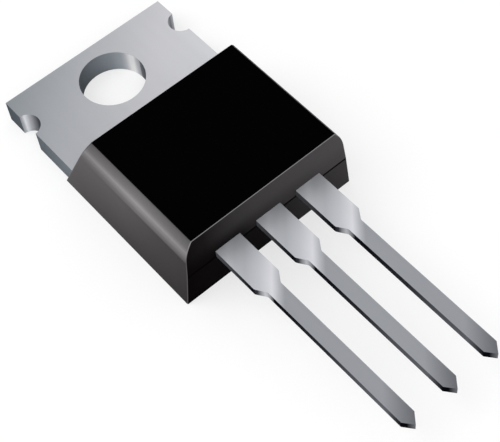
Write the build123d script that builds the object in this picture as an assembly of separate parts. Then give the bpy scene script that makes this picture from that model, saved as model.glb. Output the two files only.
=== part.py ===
from build123d import *
import math
import os

# Power transistor in a flat three-lead package with a metal mounting tab.
# Units are millimetres and degrees.
# The origin is the centre of the mounting hole on the back of the tab.
# +Z points out of the black face, +Y to the tab end, and the leads run towards -Y.

# Thick part of the frame: the tab outside and the header under the chip
tab_width = 10.30
tab_thickness = 1.40
hole_to_tab_end = 2.62
hole_diameter = 3.60
notch_radius = 0.74
notch_centre_outside_edge = 0.05
notch_y = 0.60
shoulder_inside_mould = 0.42
header_width = 8.80
header_corner_radius = 0.50
lip_thickness = 0.80
lip_overhang = 0.40
header_to_lead_end = 2.95
groove_width = 0.40
groove_depth = 0.18
shoulder_to_groove = 0.45

# Moulded case
hole_to_mould = 3.35
mould_length = 9.45
mould_side_cover = 0.18
mould_height = 4.78
side_draft = 6.0
end_wall_lean = 26.0
lead_end_draft = 1.5
crown_drop = 1.35
crown_run = 0.52
mould_edge_radius = 0.06

# Leads
lead_pitch = 2.54
lead_thickness = 0.45
lead_back_height = 2.28
lead_shoulder_width = 1.52
lead_width = 0.80
lead_length = 12.70
shoulder_length = 2.82
taper_length = 0.54
taper_radius = 0.20
point_length = 0.50

# Parts of the leads inside the case
post_width = 2.60
post_length = 1.25
post_reach = 2.70
post_outward_shift = 0.15
post_corner_radius = 0.20
lock_hole_diameter = 0.70
lock_hole_depth = 0.85
bridge_root = 1.20
bridge_bend_radius = 0.35
bridge_flat = 0.30
bridge_run = 1.05

# Chip and the solder under it
die_width = 4.40
die_length = 3.40
die_thickness = 0.28
die_to_header_end = 1.08
solder_thickness = 0.06
solder_margin = 0.15

# Bond wires
source_wire_diameter = 0.38
source_wire_spacing = 1.10
source_loop_rise = 0.85
gate_wire_diameter = 0.16
gate_loop_rise = 0.60
gate_pad_inset = 0.55
source_bond_x = 1.15
source_bond_inset = 1.60
wire_rise_angle = 60.0
wire_fall_angle = 50.0
wire_bend_radius = 0.55
foot_length_in_diameters = 2.6
heel_share_of_foot = 0.25
foot_width_in_diameters = 1.35
foot_thickness_in_diameters = 0.60

# Blocks that only cut: the holes through the tab, and the wire's ends below their pads
cutter_height = 5.0
wire_trim_size = 1.5

# Places that follow from the sizes
mould_base_width = tab_width + 2 * mould_side_cover
lead_end_y = -(hole_to_mould + mould_length)
end_wall_slope = math.tan(math.radians(end_wall_lean))
wall_foot_y = -hole_to_mould + tab_thickness * end_wall_slope
wall_top_y = wall_foot_y - mould_height * end_wall_slope
shoulder_y = -(hole_to_mould + shoulder_inside_mould)
header_end_y = lead_end_y + header_to_lead_end
lip_back_z = tab_thickness - lip_thickness
groove_y = shoulder_y - shoulder_to_groove
lead_top_z = lead_back_height + lead_thickness
tip_y = lead_end_y - lead_length
die_y = header_end_y + die_to_header_end + die_length / 2
die_top_z = tab_thickness + solder_thickness + die_thickness
post_inner_y = lead_end_y + post_reach
post_y = post_inner_y - post_length / 2


def box_between(x_low, x_high, y_low, y_high, z_low, z_high):
    """Upright block between two opposite corners."""
    block = Box(x_high - x_low, y_high - y_low, z_high - z_low)
    return Pos((x_low + x_high) / 2, (y_low + y_high) / 2, (z_low + z_high) / 2) * block


def header_layer(half_width, end_y, z_low, z_high):
    """One layer of the header, from inside the tab to a rounded free end."""
    outline = Pos(0, (end_y + shoulder_y) / 2) * Rectangle(2 * half_width, shoulder_y - end_y)
    free_corners = outline.vertices().group_by(Axis.Y)[0]
    outline = fillet(free_corners, header_corner_radius)
    return extrude(Pos(0, 0, z_low) * outline, z_high - z_low)


def lead_blade(inner_y):
    """Flat outline of one lead, from inner_y in the case to its point, centred on x = 0."""
    half_shoulder = lead_shoulder_width / 2
    half_width = lead_width / 2
    shoulder_end_y = lead_end_y - shoulder_length
    narrow_y = shoulder_end_y - taper_length
    right = [
        (half_shoulder, inner_y),
        (half_shoulder, shoulder_end_y),
        (half_width, narrow_y),
        (half_width, tip_y + point_length),
    ]
    left = [(-x, y) for x, y in reversed(right)]
    outline = make_face(Polyline(*right, (0, tip_y), *left, close=True))
    middle_y = (shoulder_end_y + narrow_y) / 2
    taper_corners = outline.vertices().filter_by(lambda v: abs(v.Y - middle_y) < taper_length)
    return fillet(taper_corners, taper_radius)


def bridge_and_centre_lead():
    """Centre lead with the ramp that joins it to the front of the header."""
    low_z = tab_thickness - lead_thickness / 2
    high_z = lead_back_height + lead_thickness / 2
    ramp_y = header_end_y - bridge_flat
    route = FilletPolyline(
        (header_end_y + bridge_root, low_z),
        (ramp_y, low_z),
        (ramp_y - bridge_run, high_z),
        (tip_y - point_length, high_z),
        radius=bridge_bend_radius,
    )
    strip = extrude(Plane.YZ * trace(route, lead_thickness), lead_shoulder_width, both=True)
    blade = extrude(lead_blade(header_end_y + bridge_root), mould_height)
    return strip & blade


def tab_frame():
    """Tab, header and centre lead, stamped from one strip of two thicknesses."""
    tab = box_between(-tab_width / 2, tab_width / 2, shoulder_y, hole_to_tab_end, 0, tab_thickness)
    lip = header_layer(header_width / 2, header_end_y, lip_back_z, tab_thickness)
    pad = header_layer(header_width / 2 - lip_overhang, header_end_y + lip_overhang, 0, lip_back_z)
    frame = tab + lip + pad + bridge_and_centre_lead()
    frame -= Cylinder(hole_diameter / 2, cutter_height)
    notch_x = tab_width / 2 + notch_centre_outside_edge
    for side in (-1, 1):
        frame -= Pos(side * notch_x, notch_y) * Cylinder(notch_radius, cutter_height)
    groove = make_face(
        Polyline(
            (groove_y - groove_width / 2, tab_thickness),
            (groove_y, tab_thickness - groove_depth),
            (groove_y + groove_width / 2, tab_thickness),
            close=True,
        )
    )
    return frame - extrude(Plane.YZ * groove, header_width, both=True)


def outer_lead(side):
    """Outer lead with its bonding post and the hole that locks it in the case."""
    outline = Pos(side * lead_pitch, 0) * lead_blade(post_y)
    post_x = side * (lead_pitch + post_outward_shift)
    outline += Pos(post_x, post_y) * RectangleRounded(post_width, post_length, post_corner_radius)
    lock_hole = Circle(lock_hole_diameter / 2)
    outline -= Pos(side * lead_pitch, lead_end_y + lock_hole_depth) * lock_hole
    return extrude(Pos(0, 0, lead_back_height) * outline, lead_thickness)


def die_solder():
    """Solder layer between the header and the chip."""
    width = die_width + 2 * solder_margin
    length = die_length + 2 * solder_margin
    return Pos(0, die_y, tab_thickness + solder_thickness / 2) * Box(width, length, solder_thickness)


def silicon_die():
    """Silicon chip on its solder layer."""
    return Pos(0, die_y, die_top_z - die_thickness / 2) * Box(die_width, die_length, die_thickness)


def wire_foot(centre, heading, diameter):
    """Flattened end of a wire, lying on its pad and pointing along heading."""
    length = foot_length_in_diameters * diameter
    width = foot_width_in_diameters * diameter
    seat = Plane(origin=centre, x_dir=heading, z_dir=(0, 0, 1))
    return extrude(seat * SlotOverall(length, width), foot_thickness_in_diameters * diameter)


def bond_wire(chip_place, post_place, diameter, loop_rise):
    """Looped wire from the chip to a bonding post, with the centres of its two flat feet given."""
    chip_foot = Vector(*chip_place)
    post_foot = Vector(*post_place)
    heading = Vector(post_foot.X - chip_foot.X, post_foot.Y - chip_foot.Y, 0).normalized()
    heel = heading * (foot_length_in_diameters * diameter * heel_share_of_foot)
    start = chip_foot + heel
    end = post_foot - heel
    span = math.hypot(end.X - start.X, end.Y - start.Y)
    climb = end.Z - start.Z
    peak = climb + loop_rise
    rise_run = peak / math.tan(math.radians(wire_rise_angle))
    fall_run = loop_rise / math.tan(math.radians(wire_fall_angle))
    sink_rise = diameter / math.tan(math.radians(wire_rise_angle))
    sink_fall = diameter / math.tan(math.radians(wire_fall_angle))
    upright = Plane(origin=start, x_dir=heading, z_dir=heading.cross(Vector(0, 0, 1)))
    route = upright * FilletPolyline(
        (-sink_rise, -diameter),
        (rise_run, peak),
        (span - fall_run, peak),
        (span + sink_fall, climb - diameter),
        radius=wire_bend_radius,
    )
    wire = sweep(Plane(origin=route @ 0, z_dir=route % 0) * Circle(diameter / 2), path=route)
    trim = Box(wire_trim_size, wire_trim_size, wire_trim_size)
    for place in (start, end):
        wire -= Pos(place.X, place.Y, place.Z - wire_trim_size / 2) * trim
    return wire + wire_foot(chip_foot, heading, diameter) + wire_foot(post_foot, heading, diameter)


def gate_wire():
    """Thin wire from the chip's corner pad to the left post."""
    pad_x = -die_width / 2 + gate_pad_inset
    pad_y = die_y - die_length / 2 + gate_pad_inset
    post_x = -(lead_pitch + post_outward_shift)
    chip_place = (pad_x, pad_y, die_top_z)
    post_place = (post_x, post_y, lead_top_z)
    return bond_wire(chip_place, post_place, gate_wire_diameter, gate_loop_rise)


def source_wire(step):
    """Thick wire from the chip to the right post; step is -1 or 1 for the two side by side."""
    shift = step * source_wire_spacing / 2
    post_x = lead_pitch + post_outward_shift
    chip_place = (source_bond_x + shift, die_y - die_length / 2 + source_bond_inset, die_top_z)
    post_place = (post_x + shift, post_y, lead_top_z)
    return bond_wire(chip_place, post_place, source_wire_diameter, source_loop_rise)


def is_rounded_edge(edge):
    """True for the edges of the top and of the corners, and not for the level edges lower down."""
    box = edge.bounding_box()
    level = box.max.Z - box.min.Z < mould_edge_radius
    below_top = box.max.Z < mould_height - mould_edge_radius
    return not (level and below_top)


def mould_block():
    """Outside of the moulded case: drafted sides, rounded long edges and a leaning tab-end wall."""
    slope = math.tan(math.radians(side_draft))
    half_base = mould_base_width / 2
    crown_z = mould_height - crown_drop
    half_crown = half_base - crown_z * slope
    half_top = half_crown - crown_run
    right = [
        Line((half_base, 0), (half_crown, crown_z)),
        TangentArc((half_crown, crown_z), (half_top, mould_height), tangent=(-slope, 1)),
    ]
    left = [mirror(edge, Plane.YZ) for edge in right]
    top = Line((half_top, mould_height), (-half_top, mould_height))
    base = Line((-half_base, 0), (half_base, 0))
    section = make_face([*right, top, *left, base])
    prism = extrude(Plane.XZ * section, -lead_end_y + mould_length, both=True)

    end_slope = math.tan(math.radians(lead_end_draft))
    profile = Polyline(
        (wall_foot_y, 0),
        (wall_top_y, mould_height),
        (lead_end_y + (mould_height - lead_back_height) * end_slope, mould_height),
        (lead_end_y, lead_back_height),
        (lead_end_y + lead_back_height * end_slope, 0),
        close=True,
    )
    block = prism & extrude(Plane.YZ * make_face(profile), mould_base_width, both=True)
    return fillet(block.edges().filter_by(is_rounded_edge), mould_edge_radius)


def mould_body(inner_pieces):
    """Case moulded round the frame, the leads, the chip and the wires."""
    case = mould_block()
    for piece in inner_pieces:
        case -= piece
    return case


pieces = {
    "tab_frame": tab_frame(),
    "gate_lead": outer_lead(-1),
    "source_lead": outer_lead(1),
    "die_solder": die_solder(),
    "silicon_die": silicon_die(),
    "gate_wire": gate_wire(),
    "source_wire_inner": source_wire(-1),
    "source_wire_outer": source_wire(1),
}
pieces["mould_body"] = mould_body(list(pieces.values()))

os.makedirs("parts", exist_ok=True)
for name, piece in pieces.items():
    export_step(piece, f"parts/{name}.step")
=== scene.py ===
import bpy
from mathutils import Matrix, Vector


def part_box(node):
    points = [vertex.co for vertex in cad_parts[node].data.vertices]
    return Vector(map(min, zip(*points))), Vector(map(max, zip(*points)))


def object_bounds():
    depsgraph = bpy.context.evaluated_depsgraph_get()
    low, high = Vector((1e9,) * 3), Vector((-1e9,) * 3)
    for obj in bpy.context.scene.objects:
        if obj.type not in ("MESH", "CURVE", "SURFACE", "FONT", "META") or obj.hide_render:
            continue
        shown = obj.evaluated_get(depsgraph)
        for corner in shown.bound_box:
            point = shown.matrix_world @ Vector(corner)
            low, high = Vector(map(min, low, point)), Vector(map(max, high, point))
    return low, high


# Looks of a power transistor with a black moulded case, a metal tab and three plated leads.
# Units are metres. The frame's origin is the centre of the tab's hole, on the tab's back.

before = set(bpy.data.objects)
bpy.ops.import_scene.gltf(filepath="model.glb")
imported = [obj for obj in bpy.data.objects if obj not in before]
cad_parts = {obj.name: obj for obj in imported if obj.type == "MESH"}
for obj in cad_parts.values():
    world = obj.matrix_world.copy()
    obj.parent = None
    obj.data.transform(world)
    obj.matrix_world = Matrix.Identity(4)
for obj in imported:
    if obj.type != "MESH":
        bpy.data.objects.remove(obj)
cad_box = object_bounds()
MM = 0.001

# Places read from the frame. The parting line of the case runs along the leads' backs.
case_low, case_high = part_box("mould_body")
tab_low, tab_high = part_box("tab_frame")
parting_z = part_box("gate_lead")[0][2]

# Ends and side of the case in millimetres, the unit of the colour stops
case_lead_end = case_low[1] / MM
case_tab_end = case_high[1] / MM
case_side = case_high[0] / MM

# Sizes that no box gives. A margin is how far past its radius a round wall may lie.
hole_radius = 1.80 * MM
hole_margin = 0.05 * MM
notch_radius = 0.74 * MM
notch_margin = 0.01 * MM
notch_y = 0.60 * MM
notch_outside = 0.05 * MM
lead_pitch = 2.54 * MM
parting_half_width = 0.07 * MM

# Direction along the floor in which the painted sheen and highlight bands on the metal change
sheen_x = 0.759
sheen_y = -0.648

# Small shifts of red, green and blue, in screen levels, that tint a grey
neutral = (0, 0, 0)
warm = (1, -1, 0)
cool = (-3, -1, 4)
slate = (-7, 0, 6)

# Height of the fine relief in every material, and the scales of the noise on the case and the plate
relief = 0.01 * MM
grain_scale = 9000.0
brushing_scale = 1500.0

# Lamps, sky and floor. The floor glows to the camera: partly by the part, wholly past shadow_end.
key_place = (-0.22, 0.12, 0.34)
key_power = 0.7
fill_place = (-0.10, -0.35, 0.25)
fill_power = 0.4
lamp_size = 0.30
lamp_target = (0.0, -0.009, 0.002)
sky_strength = 0.80
floor_half = 0.6
floor_gap = 0.02 * MM
floor_lightness = 0.92
shadow_reach = 0.020
shadow_end = 0.060
glow_by_part = 0.65

# Camera at the photograph's viewing angle, from a fit of the part's corners. Its place is in millimetres.
camera_place = (-20.888, -41.892, 56.853)
camera_forward = (0.30769, 0.45283, -0.83682)
camera_right = (0.75923, -0.64694, -0.07092)
camera_lens = 97.28
sensor_width = 36.0
clip_start = 1.0 * MM


def linear(level):
    """Linear light value of a screen level from 0 to 255, by the standard screen curve."""
    share = level / 255
    return share / 12.92 if share < 0.04045 else ((share + 0.055) / 1.055) ** 2.4


def grey(level, tint=neutral):
    """Linear colour of a screen level, with a small shift of each channel."""
    return tuple(linear(max(level + shift, 0)) for shift in tint)


def shades(tint, *pairs, unit=1.0):
    """Colour stops of one tint, from pairs of a place in this unit and a screen level."""
    return [(place * unit, grey(level, tint)) for place, level in pairs]


def new_material(name):
    """A node material with a principled shader."""
    material = bpy.data.materials.new(name)
    material.use_nodes = True
    tree = material.node_tree
    return material, tree, tree.nodes["Principled BSDF"]


def node(tree, kind, **settings):
    """A new node of this kind with its settings."""
    made = tree.nodes.new(kind)
    for key, value in settings.items():
        setattr(made, key, value)
    return made


def feed(tree, socket, value):
    """Sets a socket to a number or a colour, or links an output to it."""
    if isinstance(value, bpy.types.NodeSocket):
        tree.links.new(value, socket)
    elif isinstance(value, tuple) and len(value) == 3 and socket.type == "RGBA":
        socket.default_value = (*value, 1.0)
    else:
        socket.default_value = value


def maths(tree, operation, *values):
    """Output of one math node."""
    made = node(tree, "ShaderNodeMath", operation=operation)
    for socket, value in zip(made.inputs, values):
        feed(tree, socket, value)
    return made.outputs[0]


def weighed(tree, first, first_weight, second, second_weight):
    """Sum of two values, each times its weight."""
    products = [
        maths(tree, "MULTIPLY", value, weight)
        for value, weight in ((first, first_weight), (second, second_weight))
    ]
    return maths(tree, "ADD", *products)


def between(tree, value, start, end, smooth=True):
    """0 at start and before, 1 at end and after, with a smooth or a straight change between."""
    made = node(tree, "ShaderNodeMapRange", interpolation_type="SMOOTHSTEP" if smooth else "LINEAR")
    for socket, number in zip(made.inputs, (value, start, end, 0.0, 1.0)):
        feed(tree, socket, number)
    return made.outputs[0]


def ramp(tree, value, stops):
    """Colours along a value, from stops of a place and a colour in rising order."""
    start = stops[0][0]
    end = stops[-1][0]
    made = node(tree, "ShaderNodeValToRGB")
    elements = made.color_ramp.elements
    while len(elements) < len(stops):
        elements.new(0.5)
    for element, (place, colour) in zip(elements, stops):
        element.position = (place - start) / (end - start)
        element.color = (*colour, 1.0)
    feed(tree, made.inputs[0], between(tree, value, start, end, smooth=False))
    return made.outputs[0]


def mix(tree, factor, first, second, blend="MIX"):
    """Mix of two colours, at this node's colour inputs 6 and 7 and its colour output 2."""
    made = node(tree, "ShaderNodeMix", data_type="RGBA", blend_type=blend)
    for socket, value in zip((made.inputs[0], made.inputs[6], made.inputs[7]), (factor, first, second)):
        feed(tree, socket, value)
    return made.outputs[2]


def place_and_normal(tree):
    """Object coordinates as a vector and as x, y, z, and the surface normal as x, y, z."""
    coordinates = node(tree, "ShaderNodeTexCoord")
    place = node(tree, "ShaderNodeSeparateXYZ")
    normal = node(tree, "ShaderNodeSeparateXYZ")
    tree.links.new(coordinates.outputs["Object"], place.inputs[0])
    tree.links.new(coordinates.outputs["Normal"], normal.inputs[0])
    return coordinates.outputs["Object"], place.outputs, normal.outputs


def noise(tree, vector, scale, stretch=(1, 1, 1)):
    """Noise value, stretched along an axis if asked."""
    mapping = node(tree, "ShaderNodeMapping")
    mapping.inputs["Scale"].default_value = stretch
    made = node(tree, "ShaderNodeTexNoise")
    made.inputs["Scale"].default_value = scale
    tree.links.new(vector, mapping.inputs[0])
    tree.links.new(mapping.outputs[0], made.inputs["Vector"])
    return made.outputs["Fac"]


def node_grey(tree, level):
    """Grey colour from a value."""
    made = node(tree, "ShaderNodeCombineColor")
    for socket in made.inputs:
        tree.links.new(level, socket)
    return made.outputs[0]


def tone(tree, colour, value, spread):
    """The colour made a little darker and lighter by a noise value."""
    level = maths(tree, "ADD", maths(tree, "MULTIPLY", value, 2 * spread), 1 - spread)
    return mix(tree, 1.0, colour, node_grey(tree, level), blend="MULTIPLY")


def bump(tree, shader, height, strength):
    """Fine relief from a height value."""
    made = node(tree, "ShaderNodeBump")
    made.inputs["Strength"].default_value = strength
    made.inputs["Distance"].default_value = relief
    feed(tree, made.inputs["Height"], height)
    tree.links.new(made.outputs[0], shader.inputs["Normal"])


def off_axis(tree, place, x, y):
    """Distance from an upright axis through (x, y)."""
    off_x = maths(tree, "SUBTRACT", place["X"], x)
    off_y = maths(tree, "SUBTRACT", place["Y"], y)
    return maths(tree, "SQRT", weighed(tree, off_x, off_x, off_y, off_y))


def epoxy_side_painted_shading(tree, place, normal):
    """Sides of the case, grey only by painted shade: darker towards the leads and the back, with a painted
    highlight band along the rounded crown.
    """
    # Painted shade: the grey of these walls stands in for light falling on the black case
    low_wall = ramp(tree, place["Y"], shades(
        warm, (case_lead_end, 48), (-8.7, 61), (-4.3, 74), (case_tab_end, 84), unit=MM))
    high_wall = ramp(tree, place["Y"], shades(
        warm, (case_lead_end, 57), (-10.5, 67), (-7.8, 82), (case_tab_end, 89), unit=MM))
    wall = mix(tree, between(tree, place["Z"], 0.3 * MM, 3.0 * MM, smooth=False), low_wall, high_wall)

    # The painted highlight band follows the direction that the crown faces, and is brightest near the leads
    crown = ramp(tree, normal["Z"], shades(
        warm, (0.10, 86), (0.19, 104), (0.26, 120), (0.31, 128), (0.34, 139), (0.38, 126), (0.43, 111),
        (0.525, 98), (0.60, 72)))
    shares = ((case_lead_end, 0.80), (-8.9, 1.0), (-5.2, 0.79), (case_tab_end, 0.79))
    highlight_swell = ramp(tree, place["Y"], [(y * MM, (share, share, share)) for y, share in shares])
    crown = mix(tree, 1.0, crown, highlight_swell, blend="MULTIPLY")
    return mix(tree, between(tree, normal["Z"], 0.11, 0.19), wall, crown)


def epoxy_lead_end_painted_shading(tree, place):
    """Wall that the leads come out of: painted shade that is lighter to the right and to the front, with a
    dark parting line.
    """
    # Painted shade from left to right: at the top, just above the parting line and below it
    top = ramp(tree, place["X"], shades(
        warm, (-case_side, 6), (-3.8, 24), (-1.9, 52), (-0.8, 60), (0.75, 66), (case_side, 75), unit=MM))
    middle = ramp(tree, place["X"], shades(
        warm, (-case_side, 3), (-1.9, 16), (-0.8, 42), (0.8, 54), (3.3, 65), (case_side, 67), unit=MM))
    below = ramp(tree, place["X"], shades(
        warm, (-case_side, 2), (0.0, 22), (2.2, 50), (case_side, 58), unit=MM))

    rise = between(tree, place["Z"], parting_z + 0.2 * MM, case_high[2] - 0.8 * MM)
    above = mix(tree, rise, middle, top)
    end = mix(tree, maths(tree, "LESS_THAN", place["Z"], parting_z), above, below)
    off_parting = maths(tree, "ABSOLUTE", maths(tree, "SUBTRACT", place["Z"], parting_z))
    return mix(tree, maths(tree, "LESS_THAN", off_parting, parting_half_width), end, grey(0))


def epoxy_material():
    """Black moulding compound: bare black face, sides made dark grey by painted shade, and painted highlights
    on the rounded edges round the lead end.
    """
    material, tree, shader = new_material("black_epoxy")
    vector, place, normal = place_and_normal(tree)

    to_leads = maths(tree, "MULTIPLY", normal["Y"], -1.0)
    rounded = between(tree, to_leads, 0.20, 0.40)
    faces_leads = between(tree, to_leads, 0.80, 0.95)
    faces_up = between(tree, normal["Z"], 0.80, 0.95)
    # Painted highlight on the rounded edges round the lead end
    painted_rim_highlight = mix(tree, between(tree, normal["Z"], 0.15, 0.35), grey(82, warm), grey(128, warm))
    colour = mix(tree, rounded, epoxy_side_painted_shading(tree, place, normal), painted_rim_highlight)
    colour = mix(tree, faces_leads, colour, epoxy_lead_end_painted_shading(tree, place))
    colour = mix(tree, faces_up, colour, grey(1))

    grain = noise(tree, vector, grain_scale)
    tree.links.new(tone(tree, colour, grain, spread=0.06), shader.inputs["Base Color"])
    shader.inputs["Roughness"].default_value = 0.6
    shader.inputs["Specular IOR Level"].default_value = 0.005
    bump(tree, shader, grain, strength=0.12)
    return material


def metal_flats_painted_sheen(tree, place, on_lead, from_case):
    """Faces of the tab and the leads: a painted sheen that pales across the tab, a painted highlight on each
    lead's shoulder, and painted shade on the tips.
    """
    diagonal = maths(tree, "SUBTRACT", place["X"], place["Y"])
    # Painted sheen across the tab, darker at one corner and paler at the other
    tab = ramp(tree, diagonal, [
        (-7.5 * MM, grey(139, (-5, 0, 4))), (-2.5 * MM, grey(168, cool)),
        (3.0 * MM, grey(193, (-1, -1, 3))), (8.0 * MM, grey(206, (-1, 0, 4))),
    ])

    # Each lead's painted sheen lies askew, so the place across the lead shifts it along the lead
    lane = maths(tree, "ROUND", maths(tree, "DIVIDE", place["X"], lead_pitch))
    across = maths(tree, "SUBTRACT", place["X"], maths(tree, "MULTIPLY", lane, lead_pitch))
    lead_place = maths(tree, "ADD", from_case, maths(tree, "MULTIPLY", across, -sheen_x / sheen_y))
    # Painted highlight on the shoulder and painted shade towards the tip
    lead = ramp(tree, lead_place, [
        *shades(cool, (0.0, 199), (0.5, 184), (1.25, 175), (2.25, 188), unit=MM),
        (3.2 * MM, grey(208, (-1, -1, 4))),
        *shades(cool, (3.72, 174), (4.1, 149), (10.6, 147), (11.9, 120), (13.2, 90), unit=MM),
    ])
    return mix(tree, on_lead, tab, lead)


def metal_edges_painted_shade_and_glint(tree, place, normal, on_lead, from_case):
    """Cut edges: slate on the tab, partly their own darker tone and partly painted shade, with painted shade
    on the left of each lead and a painted glint on its shoulder.
    """
    # Painted shade on edges that face left, and painted glints along the leads' edges
    on_left = maths(tree, "LESS_THAN", normal["X"], -0.3)
    tab_left = ramp(tree, place["Y"], shades(slate, (-3.5, 131), (0.0, 106), (1.35, 98), (2.7, 86), unit=MM))
    tab_edge = mix(tree, on_left, grey(122, slate), tab_left)
    lead_left = ramp(tree, from_case, shades(
        cool, (0.0, 112), (1.6, 66), (2.7, 12), (2.95, 60), (3.25, 200), (3.5, 170), (3.8, 20), (4.8, 26),
        (7.4, 54), (9.0, 86), (11.2, 104), (12.2, 14), (12.4, 14), (12.8, 130), unit=MM))
    lead_right = ramp(tree, from_case, shades(
        cool, (0.0, 125), (2.7, 100), (3.2, 170), (3.6, 96), (12.8, 86), unit=MM))
    lead_edge = mix(tree, on_left, lead_right, lead_left)
    return mix(tree, on_lead, tab_edge, lead_edge)


def metal_curved_walls_painted_highlight(tree, place, normal, edge):
    """Puts a painted highlight band, set by the way each wall faces, on the edges inside the hole and the
    notches.
    """
    # Painted highlight and shade: the wall's colour changes with the direction it faces
    turn = weighed(tree, normal["X"], sheen_x, normal["Y"], sheen_y)
    hole_wall = ramp(tree, turn, [
        *shades((2, -4, 4), (-1.0, 50)), *shades(cool, (-0.82, 122), (-0.70, 186)),
        *shades(neutral, (-0.56, 255), (-0.44, 250)), *shades(cool, (-0.30, 205)),
        *shades(slate, (-0.17, 181), (0.2, 156), (1.0, 112)),
    ])
    notch_wall = ramp(tree, turn, shades(
        cool, (-1.0, 82), (-0.70, 82), (-0.33, 130), (0.01, 180), (0.33, 236), (0.51, 176), (0.60, 158),
        (0.70, 205), (0.90, 124), (1.0, 180)))
    in_hole = maths(tree, "LESS_THAN", off_axis(tree, place, 0.0, 0.0), hole_radius + hole_margin)
    edge = mix(tree, in_hole, edge, hole_wall)
    for notch_x in (tab_low[0] - notch_outside, tab_high[0] + notch_outside):
        off_notch = off_axis(tree, place, notch_x, notch_y)
        in_notch = maths(tree, "LESS_THAN", off_notch, notch_radius + notch_margin)
        edge = mix(tree, in_notch, edge, notch_wall)
    return edge


def plated_metal():
    """Satin tin plate, pale and bluish, with slate cut edges, fine brushing along the part, and painted
    sheen, highlights and shade on its faces and edges.
    """
    material, tree, shader = new_material("plated_copper")
    vector, place, normal = place_and_normal(tree)

    from_case = maths(tree, "SUBTRACT", case_low[1], place["Y"])
    on_lead = maths(tree, "LESS_THAN", place["Y"], case_low[1] + 0.5 * MM)
    # Painted sheen, highlights and shade on the flats and the edges
    flat = metal_flats_painted_sheen(tree, place, on_lead, from_case)
    edge = metal_edges_painted_shade_and_glint(tree, place, normal, on_lead, from_case)
    edge = metal_curved_walls_painted_highlight(tree, place, normal, edge)
    facing = maths(tree, "ABSOLUTE", normal["Z"])
    colour = mix(tree, between(tree, facing, 0.7, 0.4), flat, edge)

    brushed = noise(tree, vector, brushing_scale, stretch=(1.0, 0.08, 1.0))
    tree.links.new(tone(tree, colour, brushed, spread=0.04), shader.inputs["Base Color"])
    shader.inputs["Metallic"].default_value = 0.45
    shader.inputs["Specular Tint"].default_value = (0.3, 0.3, 0.31, 1.0)
    shader.inputs["Specular IOR Level"].default_value = 0.0
    roughness = maths(tree, "ADD", maths(tree, "MULTIPLY", brushed, 0.15), 0.35)
    feed(tree, shader.inputs["Roughness"], roughness)
    bump(tree, shader, brushed, strength=0.10)
    return material


def inner_metal(name, colour, roughness, scale):
    """Metal of an inner piece, with a fine uneven tone."""
    material, tree, shader = new_material(name)
    vector, _, _ = place_and_normal(tree)
    grain = noise(tree, vector, scale)
    tree.links.new(tone(tree, colour, grain, spread=0.10), shader.inputs["Base Color"])
    shader.inputs["Metallic"].default_value = 1.0
    shader.inputs["Roughness"].default_value = roughness
    bump(tree, shader, grain, strength=0.10)
    return material


def dress(material, *names):
    """Gives CAD nodes this material."""
    for name in names:
        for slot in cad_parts[name].material_slots:
            slot.material = material


def aim_light(name, place, power):
    """Square soft lamp at place that points at the part."""
    data = bpy.data.lights.new(name, "AREA")
    data.size = lamp_size
    data.energy = power
    lamp = bpy.data.objects.new(name, data)
    bpy.context.collection.objects.link(lamp)
    lamp.location = place
    lamp.rotation_euler = (Vector(lamp_target) - Vector(place)).to_track_quat("-Z", "Y").to_euler()


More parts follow.
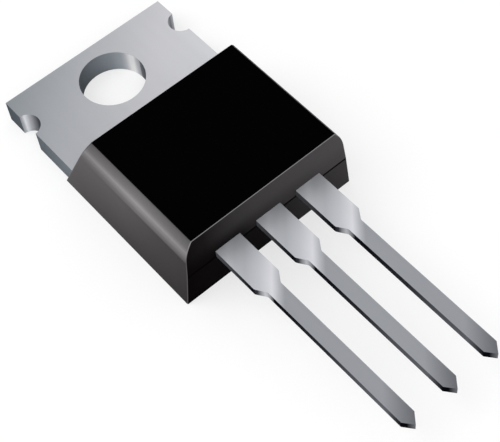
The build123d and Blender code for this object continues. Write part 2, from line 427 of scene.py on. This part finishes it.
def pale_floor():
    """Large pale floor under the part, which keeps the part's shadow and fades to white round it."""
    mesh = bpy.data.meshes.new("floor")
    corners = [(x * floor_half, y * floor_half, 0) for x, y in ((-1, -1), (1, -1), (1, 1), (-1, 1))]
    mesh.from_pydata(corners, [], [(0, 1, 2, 3)])
    floor = bpy.data.objects.new("floor", mesh)
    floor.location.z = cad_box[0][2] - floor_gap
    bpy.context.collection.objects.link(floor)

    material, tree, shader = new_material("floor_white")
    shader.inputs["Base Color"].default_value = (floor_lightness, floor_lightness, floor_lightness, 1.0)
    shader.inputs["Roughness"].default_value = 0.9
    shader.inputs["Specular IOR Level"].default_value = 0.0
    glow = node(tree, "ShaderNodeEmission")
    blend = node(tree, "ShaderNodeMixShader")
    path = node(tree, "ShaderNodeLightPath")
    _, place, _ = place_and_normal(tree)
    far = between(tree, off_axis(tree, place, 0.0, 0.0), shadow_reach, shadow_end)
    share = maths(tree, "ADD", maths(tree, "MULTIPLY", far, 1.0 - glow_by_part), glow_by_part)
    feed(tree, blend.inputs[0], maths(tree, "MULTIPLY", path.outputs["Is Camera Ray"], share))
    tree.links.new(shader.outputs[0], blend.inputs[1])
    tree.links.new(glow.outputs[0], blend.inputs[2])
    tree.links.new(blend.outputs[0], tree.nodes["Material Output"].inputs["Surface"])
    mesh.materials.append(material)


def studio_world():
    """World that is white to the camera and in reflections, and a weaker light on the part."""
    world = bpy.data.worlds.new("studio")
    bpy.context.scene.world = world
    world.use_nodes = True
    tree = world.node_tree
    background = tree.nodes["Background"]
    background.inputs["Color"].default_value = (1, 1, 1, 1)
    path = node(tree, "ShaderNodeLightPath")
    seen = maths(tree, "MAXIMUM", path.outputs["Is Camera Ray"], path.outputs["Is Glossy Ray"])
    level = maths(tree, "ADD", maths(tree, "MULTIPLY", seen, 1.0 - sky_strength), sky_strength)
    tree.links.new(level, background.inputs["Strength"])


def photo_camera():
    """Camera at the photograph's viewing angle, which the scene renders through."""
    forward = Vector(camera_forward).normalized()
    right = Vector(camera_right).normalized()
    up = right.cross(forward)
    data = bpy.data.cameras.new("photo_camera")
    data.sensor_width = sensor_width
    data.lens = camera_lens
    data.clip_start = clip_start
    camera = bpy.data.objects.new("photo_camera", data)
    bpy.context.collection.objects.link(camera)
    turn = Matrix((right, up, -forward)).transposed().to_4x4()
    camera.matrix_world = Matrix.Translation(Vector(camera_place) * MM) @ turn
    bpy.context.scene.camera = camera


dress(epoxy_material(), "mould_body")
dress(plated_metal(), "tab_frame", "gate_lead", "source_lead")
dress(inner_metal("solder", (0.50, 0.50, 0.51), roughness=0.50, scale=4000.0), "die_solder")
dress(inner_metal("silicon", (0.22, 0.23, 0.28), roughness=0.15, scale=6000.0), "silicon_die")
wire = inner_metal("aluminium_wire", (0.80, 0.80, 0.82), roughness=0.30, scale=8000.0)
dress(wire, "gate_wire", "source_wire_inner", "source_wire_outer")

pale_floor()
studio_world()
aim_light("key", key_place, key_power)
aim_light("fill", fill_place, fill_power)
photo_camera()
bpy.context.scene.view_settings.view_transform = "Standard"
